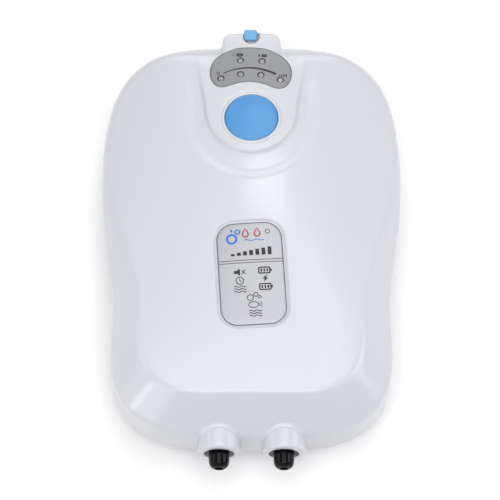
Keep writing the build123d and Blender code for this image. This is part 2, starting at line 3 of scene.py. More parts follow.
import bmesh
import bpy
import numpy as np
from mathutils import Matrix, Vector


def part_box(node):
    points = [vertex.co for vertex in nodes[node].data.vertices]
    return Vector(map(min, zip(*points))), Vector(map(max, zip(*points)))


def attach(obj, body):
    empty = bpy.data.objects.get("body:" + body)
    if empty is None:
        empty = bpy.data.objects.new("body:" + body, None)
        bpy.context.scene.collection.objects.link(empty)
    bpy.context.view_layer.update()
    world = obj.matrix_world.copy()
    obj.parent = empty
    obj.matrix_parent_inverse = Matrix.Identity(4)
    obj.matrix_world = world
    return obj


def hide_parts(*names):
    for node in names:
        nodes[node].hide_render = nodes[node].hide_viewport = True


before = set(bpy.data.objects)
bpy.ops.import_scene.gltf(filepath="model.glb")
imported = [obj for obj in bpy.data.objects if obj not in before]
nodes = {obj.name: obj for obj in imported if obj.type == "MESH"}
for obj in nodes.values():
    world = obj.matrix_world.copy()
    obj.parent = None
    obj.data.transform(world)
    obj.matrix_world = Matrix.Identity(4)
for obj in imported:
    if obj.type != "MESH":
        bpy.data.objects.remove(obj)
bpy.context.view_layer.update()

# Looks of the aquarium air pump. Every length below is in millimetres, in the frame of the CAD
# model, and is turned into metres where a mesh is made.
MM = 0.001


def box_mm(node):
    low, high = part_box(node)
    return np.array(low) / MM, np.array(high) / MM


# Casing form, the same driving dimensions as the CAD model.
OUTLINE_Y = 3.66
TOP_LENGTH = 72.4
TOP_SQUARENESS = 4.15
BOTTOM_LENGTH = 73.5
BOTTOM_SQUARENESS = 3.776
HALF_WIDTH = 53.4
WIDTH_TAPER = 0.011
WAIST_DEPTH = 5.65
WAIST_Y = -22.6
WAIST_SPAN = 27.7
REAR_Z = 2.0
PARTING_Z = 13.0
SHUT_GAP = 0.2
SLOPE_Z = 26.0
SLOPE = math.tan(math.radians(48))
SHOULDER_Z = 25.0
SHOULDER_R = 10.0
SHOULDER_Y = (20.0, 60.0)
WALL = 2.2
ROOF = 2.4
REAR_STEP = 0.3
REAR_ROUND = 8.5
CREST_Y = 5.7
CREST_Z = 40.5
CREST_SAG = (0.00045, 0.0011)
CROWN = (0.0019, 0.00455)
CROWN_Y = (-55.0, 30.0)

# Tongue and moat.
TONGUE = dict(centre_y=48.0, rx=16.2, ry=18.9, top_half=23.0)
MOAT = dict(centre_y=44.0, rx=23.9, ry=25.4, top_half=25.5)
LEG_TOP_Y = 90.0
TONGUE_RISE = 0.6
TONGUE_EDGE = 1.5
MOAT_DEPTH = 0.9
MOAT_SLOPE = 4.4
RELIEF_FADE_Y = (50, 68)
RELIEF_LEFT = 0.8
RELIEF_FADE_Z = (27.5, 31.0)
BUTTON_SEAT = 0.35
SEAT_EDGE = (0.9, 1.6)
LABEL_BANK = (-0.75, 0.2)

# Hump with the charging port.
HUMP_HALF = 10.35
HUMP_END_Y = 78.35
HUMP_CORNER = 2.6
HUMP_Z = 18.6
PORT_Z = 24.4
PORT_R = 3.3
NOTCH_R = 2.9
NOTCH_Y = 76.8
NOTCH_Z = 33.3
HINGE_X = 6.5
STRAP_STEM_X = 7.0
STRAP_Z = 32.2
TAB_X = (-2.6, 2.0)
TAB_Y = 75.7
TAB_THICK = 1.7
TAB_TOP_Z = 35.9
COVER_Y = (78.5, 79.85)
LID_R = 4.15
PLUG_R = 2.35
PLUG_Y = (76.5, 78.9)
STEM_R = 0.75
STRAP_THICK = 1.6

# Underside.
FOOT_R = 5.0
FOOT_GAP = 0.1
FOOT_DEEP = 0.6
FEET = ((33.0, 48.0), (27.0, -44.0))
SCREW_HOLE_R = 3.1
SCREW_DEEP = 4
SCREWS = ((40.8, 51.0), (35.0, -53.0))
BELOW_Z = -1
INLET_SLOTS = 3
INLET_Y = -57.4
INLET_PITCH = 2.6
INLET_SLOT = 1.5
INLET_HALF = 7.0

# Button, label and outlets.
BUTTON_Y = 42.8
BUTTON_R = 9.3
BUTTON_GAP = 0.3
BUTTON_TOP_Z = 39.5
BUTTON_CROWN = 0.6
BUTTON_DEEP = 8.2
SURROUND_POINTS = 160
SURROUND_SECTION = [
    (0.12, -1.2), (0.12, -0.05), (0.25, 0.12), (0.5, 0.2), (0.8, 0.16), (1.1, 0.02), (1.3, -0.3), (1.3, -1.2),
]
LABEL_Y = -16.5
LABEL_LONG = 37.3
LABEL_WIDE = 22.5
LABEL_CORNER = 6.0
LABEL_TURN = math.radians(3.5)
LABEL_MARGIN = 1.2
LABEL_RECESS = 0.75
LABEL_TOP = -0.38
LABEL_BOTTOM = -LABEL_RECESS - 0.1
OUTLET_X = 10.9
OUTLET_Z = 21.4
COLLAR_R = 7.4
COLLAR_BORE_R = 5.15
COLLAR_END_Y = -74.7
COLLAR_FLOOR_Y = -69.9
COLLAR_SWEEP = 1.3
COLLAR_SWEEP_Y = -50
COLLAR_LIFT = 0.45 * COLLAR_SWEEP
COLLAR_BACK_Y = -62.0
NOZZLE_HOLE_R = 4.15
NOZZLE_R = 3.5
NOZZLE_FLANGE_Y = -66.9
NOZZLE_SLEEVE_Y = -65.6

# Indicator overlay: its outline, lamps and print are drawn about its own middle.
OVERLAY_X = -0.2
OVERLAY_Y = 62.0
OVERLAY_TURN = math.radians(-1.9)
OVERLAY_TOP = TONGUE_RISE + 0.05
OVERLAY_BOTTOM = TONGUE_RISE - 0.32
OVERLAY_EDGE = [
    (0, 10.2), (4.6, 9.9), (8.0, 8.6), (11.2, 6.6), (13.7, 3.7), (14.6, 0),
    (14.0, -3.5), (12.3, -6.1), (9.9, -6.9), (7.2, -6.2), (3.7, -4.9), (0, -4.5),
]
LAMPS = [(3.85, 4.45), (3.6, -1.4), (10.5, -3.1)]
LAMP_R = 1.3
LAMP_GAP = 0.2

# Radius of the points next to an axis, which tidy() merges into one, and a level above the whole pump.
AXIS_R = 0.001
ABOVE_Z = 50

# Small turn of a cutting cylinder's points, so that they miss the points of the piece it cuts.
CUT_TURN = 0.03


# Mesh helpers.


def new_object(name, verts, faces, smooth=True):
    mesh = bpy.data.meshes.new(name)
    mesh.from_pydata((np.asarray(verts, float) * MM).tolist(), [], faces)
    mesh.validate()
    mesh.polygons.foreach_set("use_smooth", [smooth] * len(mesh.polygons))
    obj = bpy.data.objects.new(name, mesh)
    bpy.context.scene.collection.objects.link(obj)
    return obj


def ring_quads(rows, count):
    """Quads between successive closed rows of count points each."""
    quads = []
    for row in range(rows - 1):
        a = row * count
        b = a + count
        for i in range(count):
            j = (i + 1) % count
            quads.append((a + i, a + j, b + j, b + i))
    return quads


def closing_quads(rows, count):
    """Quads from the last of the closed rows back to the first."""
    last = (rows - 1) * count
    return [(last + i, last + (i + 1) % count, (i + 1) % count, i) for i in range(count)]


def points_round(origin, axis, radius, along, turns):
    """Circle about an axis, "x", "y" or "z", through origin."""
    a, b = radius * np.cos(turns), radius * np.sin(turns)
    c = np.full(len(turns), float(along))
    order = {"x": (c, a, b), "y": (b, c, a), "z": (a, b, c)}[axis]
    return np.stack(order, 1) + np.array(origin, float)


def lathe(name, profile, origin, axis, segments=64, closed=True):
    """Solid of revolution. profile is (radius, along) pairs; axis is "x", "y" or "z"."""
    turns = np.linspace(0, 2 * np.pi, segments, endpoint=False)
    rows = [points_round(origin, axis, radius, along, turns) for radius, along in profile]
    faces = ring_quads(len(rows), segments)
    if closed:
        faces += closing_quads(len(rows), segments)
    obj = new_object(name, np.concatenate(rows), faces)
    tidy(obj)
    return obj


def tidy(obj):
    """Merges doubled points and points all faces outwards."""
    bm = bmesh.new()
    bm.from_mesh(obj.data)
    bmesh.ops.remove_doubles(bm, verts=bm.verts, dist=0.002 * MM)
    bmesh.ops.dissolve_degenerate(bm, edges=bm.edges, dist=0.001 * MM)
    bmesh.ops.recalc_face_normals(bm, faces=bm.faces)
    bm.to_mesh(obj.data)
    bm.free()


def rounded(points, radius, steps=5):
    """A 2-D polyline with each inner corner rounded to about radius."""
    points = [np.array(p, float) for p in points]
    out = [points[0]]
    for before, corner, after in zip(points, points[1:], points[2:]):
        to_before, to_after = before - corner, after - corner
        reach_b, reach_a = np.linalg.norm(to_before), np.linalg.norm(to_after)
        reach = min(radius, 0.45 * reach_b, 0.45 * reach_a)
        start = corner + to_before / reach_b * reach
        end = corner + to_after / reach_a * reach
        for t in np.linspace(0, 1, steps):
            out.append((1 - t) ** 2 * start + 2 * t * (1 - t) * corner + t**2 * end)
    out.append(points[-1])
    return [tuple(p) for p in out]


def apply_modifiers(obj):
    dg = bpy.context.evaluated_depsgraph_get()
    mesh = bpy.data.meshes.new_from_object(obj.evaluated_get(dg))
    obj.modifiers.clear()
    obj.data = mesh


def boolean(obj, tools, operation):
    """One exact boolean with all the tools joined, which are then deleted."""
    bm = bmesh.new()
    for tool in tools:
        bm.from_mesh(tool.data)
    mesh = bpy.data.meshes.new("tool")
    bm.to_mesh(mesh)
    bm.free()
    for tool in tools:
        bpy.data.objects.remove(tool)
    joined = bpy.data.objects.new("tool", mesh)
    bpy.context.scene.collection.objects.link(joined)
    mod = obj.modifiers.new("cut", "BOOLEAN")
    mod.operation = operation
    mod.solver = "EXACT"
    mod.object = joined
    apply_modifiers(obj)
    bpy.data.objects.remove(joined)


def shade(obj, angle=35):
    """Smooth shading that keeps edges sharper than angle."""
    obj.data.polygons.foreach_set("use_smooth", [True] * len(obj.data.polygons))
    obj.data.set_sharp_from_angle(angle=math.radians(angle))


def cylinder(origin, axis, low, high, radius, segments=72):
    """Plain cylinder with flat ends, used to cut holes."""
    turns = np.linspace(0, 2 * np.pi, segments, endpoint=False) + CUT_TURN
    rows = [points_round(origin, axis, radius, along, turns) for along in (low, high)]
    ends = [tuple(range(segments)), tuple(range(2 * segments - 1, segments - 1, -1))]
    tool = new_object("tool", np.concatenate(rows), ring_quads(2, segments) + ends)
    tidy(tool)
    return tool


# Casing surfaces.


def ramp(value, low, high):
    t = np.clip((value - low) / (high - low), 0, 1)
    return t * t * (3 - 2 * t)


def outline_xy(turn, inset):
    c, s = np.cos(turn), np.sin(turn)
    length = np.where(s > 0, TOP_LENGTH, BOTTOM_LENGTH)
    power = 2 / np.where(s > 0, TOP_SQUARENESS, BOTTOM_SQUARENESS)
    y = OUTLINE_Y + (length - inset) * np.sign(s) * np.abs(s) ** power
    waist = WAIST_DEPTH * np.exp(-(((y - WAIST_Y) / WAIST_SPAN) ** 2))
    half = HALF_WIDTH - WIDTH_TAPER * y - waist - inset
    return half * np.sign(c) * np.abs(c) ** power, y


def outline_turns(count):
    """Turns that space points evenly along the outline, and closer at the hump's flanks."""
    dense = np.linspace(0, 2 * np.pi, 60001)
    x, y = outline_xy(dense, 0)
    step = np.hypot(np.diff(x), np.diff(y))
    mid_x, mid_y = (x[1:] + x[:-1]) / 2, (y[1:] + y[:-1]) / 2
    flank = np.exp(-(((np.abs(mid_x) - HUMP_HALF) / 1.8) ** 2)) * (mid_y > 50)
    travel = np.concatenate([[0], np.cumsum(step * (1 + 4 * flank))])
    return np.interp(np.linspace(0, travel[-1], count, endpoint=False), travel, dense)


def dome(x, y):
    sag = np.where(y > CREST_Y, CREST_SAG[1], CREST_SAG[0])
    crown = CROWN[0] + (CROWN[1] - CROWN[0]) * ramp(y, *CROWN_Y)
    return CREST_Z - sag * (y - CREST_Y) ** 2 - crown * x * x


def side_height(inset, y):
    """Height of the casing's sloping side at a distance inside the outline."""
    slope = SLOPE_Z + SLOPE * inset
    deep = np.clip(SHOULDER_R - inset, 0, SHOULDER_R)
    shoulder = SHOULDER_Z + np.sqrt(SHOULDER_R**2 - deep**2) + np.clip(inset - SHOULDER_R, 0, 99)
    share = ramp(y, *SHOULDER_Y)
    return slope * (1 - share) + shoulder * share


def u_distance(x, y, centre_y, rx, ry, top_half):
    """Signed distance from a U-shaped line: negative inside it."""
    dy = np.minimum(y - centre_y, 0)
    k0 = np.sqrt((x / rx) ** 2 + (dy / ry) ** 2) + 1e-9
    k1 = np.sqrt((x / rx**2) ** 2 + (dy / ry**2) ** 2) + 1e-9
    below = k0 * (k0 - 1) / k1
    spread = (top_half - rx) * np.clip((y - centre_y) / (LEG_TOP_Y - centre_y), 0, 1)
    return np.where(y < centre_y, below, np.abs(x) - rx - spread)


def label_distance(x, y):
    """Signed distance from the edge of the label, which is turned a few degrees."""
    c, s = math.cos(LABEL_TURN), math.sin(LABEL_TURN)
    u = x * c + (y - LABEL_Y) * s
    v = -x * s + (y - LABEL_Y) * c
    qx = np.abs(u) - LABEL_WIDE / 2 + LABEL_CORNER
    qy = np.abs(v) - LABEL_LONG / 2 + LABEL_CORNER
    outside = np.hypot(np.maximum(qx, 0), np.maximum(qy, 0))
    return outside + np.minimum(np.maximum(qx, qy), 0) - LABEL_CORNER


def relief(x, y):
    """Tongue, moat, button rim and label recess, as a height above the dome."""
    d_tongue = u_distance(x, y, **TONGUE)
    d_moat = u_distance(x, y, **MOAT)
    off_tongue = ramp(d_tongue, -TONGUE_EDGE / 2, TONGUE_EDGE / 2)
    in_moat = ramp(-d_moat, -0.15, MOAT_SLOPE)
    fade = ramp(y, *RELIEF_FADE_Y)
    height = TONGUE_RISE * (1 - off_tongue * (1 - RELIEF_LEFT * fade))
    height = height - MOAT_DEPTH * off_tongue * in_moat * (1 - fade)
    from_button = np.hypot(x, y - BUTTON_Y) - BUTTON_R
    height = height - BUTTON_SEAT * (1 - ramp(from_button, *SEAT_EDGE))
    d_label = label_distance(x, y) - LABEL_MARGIN
    return height - LABEL_RECESS * (1 - ramp(d_label, *LABEL_BANK))


def face_height(x, y):
    return dome(x, y) + relief(x, y)


# Front shell.
TURNS = 720
WALL_STEPS = 60
EDGE_STEPS = 60
SLOPE_STEPS = 300
EDGE_INSET = 3
LAST_INSET = 30
PROFILE_STEP = 0.1
PROFILE_LONG = 38.0
SMOOTH_LOW = 0.95
SMOOTH_HIGH = 2.1
SMOOTH_Y = (-12, 28)
SMOOTH_HUMP = 0.55
HUMP_BLEND_X = (HUMP_HALF - 0.35, HUMP_HALF + 0.75)
INNER_INSETS = (0.5, 1.5, 3, 5, 7, 9, 12, 16)
RIM_RINGS = 90
FACE_RINGS = 165
CENTRE = np.array([0.0, OUTLINE_Y])


def by_arc_length(points, total, count):
    """Resamples each turn's polyline (turns, steps, 3) evenly over a length from its start."""
    out = np.empty((len(points), count, 3))
    for i, line in enumerate(points):
        travel = np.concatenate([[0], np.cumsum(np.linalg.norm(np.diff(line, axis=0), axis=1))])
        where = np.linspace(0, min(total, travel[-1]) if total else travel[-1], count)
        for k in range(3):
            out[i, :, k] = np.interp(where, travel, line[:, k])
    return out


def smoothed(lines, sigma):
    """Gaussian smoothing along each line, with both ends held."""
    reach = int(4 * sigma / PROFILE_STEP)
    kernel = np.exp(-0.5 * (np.arange(-reach, reach + 1) * PROFILE_STEP / sigma) ** 2)
    kernel /= kernel.sum()
    head = 2 * lines[:, :1] - lines[:, reach:0:-1]
    tail = 2 * lines[:, -1:] - lines[:, -2:-reach - 2:-1]
    padded = np.concatenate([head, lines, tail], axis=1)
    out = np.zeros_like(lines)
    for shift, weight in enumerate(kernel):
        out += weight * padded[:, shift:shift + lines.shape[1]]
    return out


def shell_lines(turns, bottom_z):
    """Raw meridians: up the wall, then in over the slope or shoulder and the dome."""
    wall_z = np.linspace(bottom_z, SHOULDER_Z, WALL_STEPS)
    near_edge = np.linspace(0, EDGE_INSET, EDGE_STEPS)
    insets = np.concatenate([near_edge, np.linspace(EDGE_INSET, LAST_INSET, SLOPE_STEPS)[1:]])
    x0, y0 = outline_xy(turns, 0)
    wall = np.stack([np.repeat(x0[:, None], WALL_STEPS, 1), np.repeat(y0[:, None], WALL_STEPS, 1),
                     np.repeat(wall_z[None], len(turns), 0)], 2)
    tops = []
    for inset in insets:
        x, y = outline_xy(turns, inset)
        tops.append(np.stack([x, y, np.minimum(side_height(inset, y), dome(x, y))], 1))
    return np.concatenate([wall, np.stack(tops, 1)], 1)


def hump_lines(turns, bottom_z, ends):
    """Meridians over the hump that finish at the given end points."""
    x0, y0 = outline_xy(turns, 0)
    over = np.clip(np.abs(x0) - (HUMP_HALF - HUMP_CORNER), 0, HUMP_CORNER)
    end_y = HUMP_END_Y - (HUMP_CORNER - np.sqrt(HUMP_CORNER**2 - over**2))
    end_y = np.maximum(end_y, y0 - 1.5)
    lines = []
    for x, y, tip_y, end in zip(x0, y0, end_y, ends):
        low = [(y, z) for z in np.linspace(bottom_z, HUMP_Z - 1.2, 20)]
        front = [(tip_y, z) for z in np.linspace(HUMP_Z, dome(x, tip_y), 80)]
        back = [(v, dome(x, v)) for v in np.linspace(tip_y, end[1], 80)[1:]]
        path = np.array(low + front + back)
        share = np.linspace(0, 1, len(path)) ** 3
        lines.append(np.column_stack([x + (end[0] - x) * share, path]))
    return np.array(lines)


def front_rings():
    """Outer surface as rows of points, from the shut line to the middle of the face."""
    turns = outline_turns(TURNS)
    bottom = PARTING_Z + SHUT_GAP / 2
    steps = int(PROFILE_LONG / PROFILE_STEP) + 1
    raw = by_arc_length(shell_lines(turns, bottom), PROFILE_LONG, steps)
    tight, soft = smoothed(raw, SMOOTH_LOW), smoothed(raw, SMOOTH_HIGH)
    share = ramp(raw[:, :1, 1:2], *SMOOTH_Y)
    body = tight * (1 - share) + soft * share

    near = (np.abs(body[:, 0, 0]) < HUMP_HALF + 2) & (body[:, 0, 1] > 50)
    hump_raw = by_arc_length(hump_lines(turns[near], bottom, body[near, -1]), None, steps)
    hump = smoothed(hump_raw, SMOOTH_HUMP)
    hump[:, -1] = body[near, -1]
    weight = 1 - ramp(np.abs(body[near, 0, 0]), *HUMP_BLEND_X)
    body[near] += weight[:, None, None] * (hump - body[near])

    picks = np.linspace(0, steps - 1, RIM_RINGS).round().astype(int)
    rows = [body[:, k] for k in picks]
    rim = rows[-1]
    lift = rim[:, 2] - dome(rim[:, 0], rim[:, 1])
    for q in np.linspace(1, 0, FACE_RINGS)[1:-1]:
        xy = CENTRE + (rim[:, :2] - CENTRE) * q
        rows.append(np.column_stack([xy, dome(xy[:, 0], xy[:, 1]) + lift * q**6]))
    return turns, np.array(rows)


def raise_relief(rows):
    """Moves the rows along their normals by the relief, fading out down the walls."""
    around = np.roll(rows, -1, 1) - np.roll(rows, 1, 1)
    inward = np.gradient(rows, axis=0)
    normal = np.cross(around, inward)
    normal /= np.linalg.norm(normal, axis=2, keepdims=True) + 1e-12
    fade = ramp(rows[..., 2], *RELIEF_FADE_Z)
    amount = relief(rows[..., 0], rows[..., 1]) * fade

    # The casing sweeps up a little all round each outlet collar.
    from_axis = np.hypot(np.abs(rows[..., 0]) - OUTLET_X, rows[..., 2] - OUTLET_Z)
    near = np.clip(1 - (from_axis - COLLAR_R) / COLLAR_SWEEP, 0, 1) * (rows[..., 1] < COLLAR_SWEEP_Y)
    amount = amount + COLLAR_LIFT * near**2
    return rows + normal * amount[..., None]


def inner_rings(turns):
    """Inside of the shell: walls and roof a wall thickness in."""
    bottom = PARTING_Z + SHUT_GAP / 2
    rows = []
    for z in (bottom, SHOULDER_Z - 1):
        x, y = outline_xy(turns, WALL)
        rows.append(np.column_stack([x, y, np.full(TURNS, z)]))
    for inset in INNER_INSETS:
        x, y = outline_xy(turns, WALL + inset)
        z = np.minimum(side_height(inset, y) - 0.4 * WALL, dome(x, y) - ROOF)
        rows.append(np.column_stack([x, y, z]))
    rim = rows[-1]
    for q in np.linspace(1, 0, 16)[1:-1]:
        xy = CENTRE + (rim[:, :2] - CENTRE) * q
        rows.append(np.column_stack([xy, dome(xy[:, 0], xy[:, 1]) - ROOF]))
    return rows


def closed_shell(name, outer, inner, outer_pole, inner_pole):
    """Closed solid from an outer and an inner set of rows that share their first edge."""
    rows = [*inner[::-1], *outer]
    count = len(rows[0])
    verts = np.concatenate([*rows, [inner_pole], [outer_pole]])
    faces = ring_quads(len(rows), count)
    pole_in, pole_out = len(verts) - 2, len(verts) - 1
    last = (len(rows) - 1) * count
    for i in range(count):
        j = (i + 1) % count
        faces.append((j, i, pole_in))
        faces.append((last + i, last + j, pole_out))
    return new_object(name, verts, faces)


def collar(x):
    """Outlet collar with a rounded lip, reaching back through the casing wall."""
    mouth_r = COLLAR_BORE_R - 0.6
    lip = rounded([(COLLAR_R, COLLAR_BACK_Y), (COLLAR_R, COLLAR_END_Y), (mouth_r, COLLAR_END_Y)], 1.3, 9)
    profile = [(AXIS_R, COLLAR_BACK_Y), *lip, (AXIS_R, COLLAR_END_Y)]
    return lathe("tool", profile, (x, 0, OUTLET_Z), "y", 96)


def notch_tool():
    """Round-bottomed finger notch, drawn out past the end of the hump."""
    lower = rounded([(AXIS_R, NOTCH_Z), (NOTCH_R, NOTCH_Z), (NOTCH_R + 0.4, ABOVE_Z)], 1.5, 7)
    tool = lathe("tool", [*lower, (AXIS_R, ABOVE_Z)], (0, NOTCH_Y, 0), "z", 64)
    for vert in tool.data.vertices:
        if vert.co.y > (NOTCH_Y + 0.01) * MM:
            vert.co.y += 8 * MM
    return tool


def front_shell():
    turns, rows = front_rings()
    middle = [0, OUTLINE_Y, face_height(np.array(0.0), np.array(OUTLINE_Y))]
    under = [0, OUTLINE_Y, dome(np.array(0.0), np.array(OUTLINE_Y)) - ROOF]
    shell = closed_shell("front_casing", list(raise_relief(rows)), inner_rings(turns), middle, under)
    tidy(shell)
    boolean(shell, [collar(-OUTLET_X), collar(OUTLET_X)], "UNION")
    cuts = [cylinder((0, BUTTON_Y, 0), "z", 30, ABOVE_Z, BUTTON_R + BUTTON_GAP, 128)]
    cuts += [cylinder((*place, 0), "z", 25, ABOVE_Z, LAMP_R + LAMP_GAP, 40) for place in lamp_places()]
    for x in (-OUTLET_X, OUTLET_X):
        bore = [(AXIS_R, -90), (COLLAR_BORE_R, -90), (COLLAR_BORE_R, COLLAR_FLOOR_Y),
                (NOZZLE_HOLE_R, COLLAR_FLOOR_Y), (NOZZLE_HOLE_R, -55), (AXIS_R, -55)]
        cuts.append(lathe("tool", bore, (x, 0, OUTLET_Z), "y", 96))
    cuts.append(cylinder((0, 0, PORT_Z), "y", 70, 90, PORT_R))
    cuts.append(notch_tool())
    boolean(shell, cuts, "DIFFERENCE")
    shade(shell, 40)
    return shell


# Rear shell.


def rear_rows(turns, inset, floor_z, top_z, steps):
    rows = []
    x, y = outline_xy(turns, inset)
    for z in np.linspace(top_z, floor_z + REAR_ROUND, 4):
        rows.append(np.column_stack([x, y, np.full(len(turns), z)]))
    for angle in np.linspace(0, math.pi / 2, steps)[1:]:
        x, y = outline_xy(turns, inset + REAR_ROUND * (1 - math.cos(angle)))
        z = floor_z + REAR_ROUND * (1 - math.sin(angle))
        rows.append(np.column_stack([x, y, np.full(len(turns), z)]))
    rim = rows[-1]
    for q in np.linspace(1, 0, 12)[1:-1]:
        xy = CENTRE + (rim[:, :2] - CENTRE) * q
        rows.append(np.column_stack([xy, np.full(len(turns), floor_z)]))
    return rows


def rear_shell():
    turns = outline_turns(480)
    top = PARTING_Z - SHUT_GAP / 2
    outer = rear_rows(turns, REAR_STEP, REAR_Z, top, 22)
    inner = rear_rows(turns, REAR_STEP + WALL, REAR_Z + WALL, top, 8)
    shell = closed_shell("rear_casing", outer, inner, [0, OUTLINE_Y, REAR_Z], [0, OUTLINE_Y, REAR_Z + WALL])
    tidy(shell)
    cuts = [cylinder((x, y, 0), "z", BELOW_Z, REAR_Z + SCREW_DEEP, SCREW_HOLE_R, 48)
            for x, y in both_sides(SCREWS)]
    cuts += [cylinder((x, y, 0), "z", BELOW_Z, REAR_Z + FOOT_DEEP, FOOT_R + FOOT_GAP, 64)
             for x, y in both_sides(FEET)]
    cuts += [slot_tool(INLET_Y + INLET_PITCH * row) for row in range(INLET_SLOTS)]
    boolean(shell, cuts, "DIFFERENCE")
    shade(shell, 40)
    return shell


def slot_tool(y):
    """Upright tool for one air-inlet slot with round ends."""
    half, r = INLET_HALF - INLET_SLOT / 2, INLET_SLOT / 2
    ends = np.concatenate([np.linspace(-90, 90, 13), np.linspace(90, 270, 13)])
    shift = np.repeat([half, -half], 13)
    x = shift + r * np.cos(np.radians(ends))
    y = y + r + r * np.sin(np.radians(ends))
    rows = [np.column_stack([x, y, np.full(26, z)]) for z in (REAR_Z - 1.0, REAR_Z + WALL + 0.5)]
    faces = ring_quads(2, 26) + [tuple(range(26)), tuple(range(51, 25, -1))]
    tool = new_object("tool", np.concatenate(rows), faces)
    tidy(tool)
    return tool


def both_sides(places):
    return [(side * x, y) for x, y in places for side in (-1, 1)]


# Materials.


def principled(name, colour, roughness, **sockets):
    mat = bpy.data.materials.new(name)
    mat.use_nodes = True
    shader = mat.node_tree.nodes["Principled BSDF"]
    shader.inputs["Base Color"].default_value = (*colour, 1)
    shader.inputs["Roughness"].default_value = roughness
    for socket, value in sockets.items():
        shader.inputs[socket.replace("_", " ")].default_value = value
    return mat, mat.node_tree, shader


def texture_coords(tree):
    return tree.nodes.new("ShaderNodeTexCoord").outputs["Object"]


def noise(tree, scale, detail=4.0, rough=0.5):
    node = tree.nodes.new("ShaderNodeTexNoise")
    node.inputs["Scale"].default_value = scale
    node.inputs["Detail"].default_value = detail
    node.inputs["Roughness"].default_value = rough
    tree.links.new(texture_coords(tree), node.inputs["Vector"])
    return node.outputs["Fac"]


def spread_value(tree, source, low, high, to):
    node = tree.nodes.new("ShaderNodeMapRange")
    node.inputs["From Min"].default_value = 0.3
    node.inputs["From Max"].default_value = 0.7
    node.inputs["To Min"].default_value = low
    node.inputs["To Max"].default_value = high
    tree.links.new(source, node.inputs["Value"])
    tree.links.new(node.outputs["Result"], to)


def tint(tree, source, low, high, to):
    node = tree.nodes.new("ShaderNodeMix")
    node.data_type = "RGBA"
    tree.links.new(source, node.inputs["Factor"])
    node.inputs["A"].default_value = (*low, 1)
    node.inputs["B"].default_value = (*high, 1)
    tree.links.new(node.outputs["Result"], to)


def bump(tree, source, strength, distance, shader):
    node = tree.nodes.new("ShaderNodeBump")
    node.inputs["Strength"].default_value = strength
    node.inputs["Distance"].default_value = distance * MM
    tree.links.new(source, node.inputs["Height"])
    tree.links.new(node.outputs["Normal"], shader.inputs["Normal"])


def textured(name, colour, roughness, vary=0.06, grain=900.0, depth=0.02, rough_vary=0.06, **sockets):
    """Moulded or painted material: slight colour drift, uneven gloss and fine surface grain."""
    mat, tree, shader = principled(name, colour, roughness, **sockets)
    low = [c * (1 - vary) for c in colour]
    high = [min(1, c * (1 + vary)) for c in colour]
    tint(tree, noise(tree, 45.0), low, high, shader.inputs["Base Color"])
    spread_value(tree, noise(tree, 160.0, 6), roughness - rough_vary, roughness + rough_vary,
                 shader.inputs["Roughness"])
    bump(tree, noise(tree, grain, 3), 0.4, depth, shader)
    return mat


white = textured("gloss_white", (0.552, 0.56, 0.598), 0.4, vary=0.008, depth=0.003, rough_vary=0.03,
                 Specular_IOR_Level=0.3, Coat_Weight=0.7, Coat_Roughness=0.17)
blue_cap = textured("button_blue", (0.064, 0.25, 0.54), 0.34, vary=0.02, depth=0.008)
blue_rubber = textured("rubber_blue", (0.13, 0.35, 0.6), 0.5, vary=0.04, depth=0.02)
black_gloss = textured("gloss_black", (0.003, 0.003, 0.004), 0.13, rough_vary=0.02, depth=0.003,
                       Specular_IOR_Level=0.14)
rubber = textured("rubber_black", (0.02, 0.02, 0.022), 0.62, depth=0.03)
foot_rubber = textured("rubber_grey", (0.06, 0.06, 0.065), 0.6, depth=0.03)
steel = textured("zinc_steel", (0.55, 0.55, 0.56), 0.32, Metallic=1.0)
brass_wire = textured("copper_wire", (0.55, 0.2, 0.07), 0.3, Metallic=1.0)
dark_plastic = textured("black_plastic", (0.025, 0.025, 0.028), 0.5)
grey_plastic = textured("grey_nylon", (0.25, 0.26, 0.27), 0.5)
ivory = textured("ivory_plastic", (0.62, 0.6, 0.52), 0.45)
board_green = textured("solder_mask", (0.02, 0.16, 0.06), 0.3)
hose_clear = textured("silicone", (0.6, 0.62, 0.62), 0.35)
iron = textured("core_iron", (0.15, 0.15, 0.16), 0.45, Metallic=0.8)
nickel = textured("nickel", (0.6, 0.58, 0.53), 0.25, Metallic=1.0)
wrap = textured("cell_wrap", (0.03, 0.2, 0.16), 0.3)
foam = textured("foam", (0.04, 0.04, 0.042), 0.95, grain=2500, depth=0.3)


def paint(obj, mat):
    obj.data.materials.clear()
    obj.data.materials.append(mat)


def grainy_metal(name, colour, roughness, grain):
    """Metallic ink or foil with a fine sparkling grain."""
    mat, tree, shader = principled(name, colour, roughness, Metallic=0.35)
    speck = noise(tree, grain, 2, 0.7)
    low = [c * 0.82 for c in colour]
    high = [min(1, c * 1.18) for c in colour]
    tint(tree, speck, low, high, shader.inputs["Base Color"])
    spread_value(tree, noise(tree, grain * 0.7, 2), roughness - 0.08, roughness + 0.08,
                 shader.inputs["Roughness"])
    bump(tree, speck, 0.3, 0.01, shader)
    return mat


overlay_grey = grainy_metal("overlay_grey", (0.255, 0.26, 0.275), 0.42, 2200)
label_silver = grainy_metal("label_silver", (0.42, 0.425, 0.45), 0.4, 2200)
ink = textured("ink_black", (0.012, 0.012, 0.014), 0.5)
ink_grey = textured("ink_grey", (0.11, 0.11, 0.12), 0.45)
ink_blue = textured("ink_blue", (0.02, 0.14, 0.5), 0.5)
ink_red = textured("ink_red", (0.32, 0.03, 0.04), 0.5)
lens = textured("lamp_lens", (0.1, 0.1, 0.11), 0.2, Coat_Weight=0.5)


# Pieces on the casing.


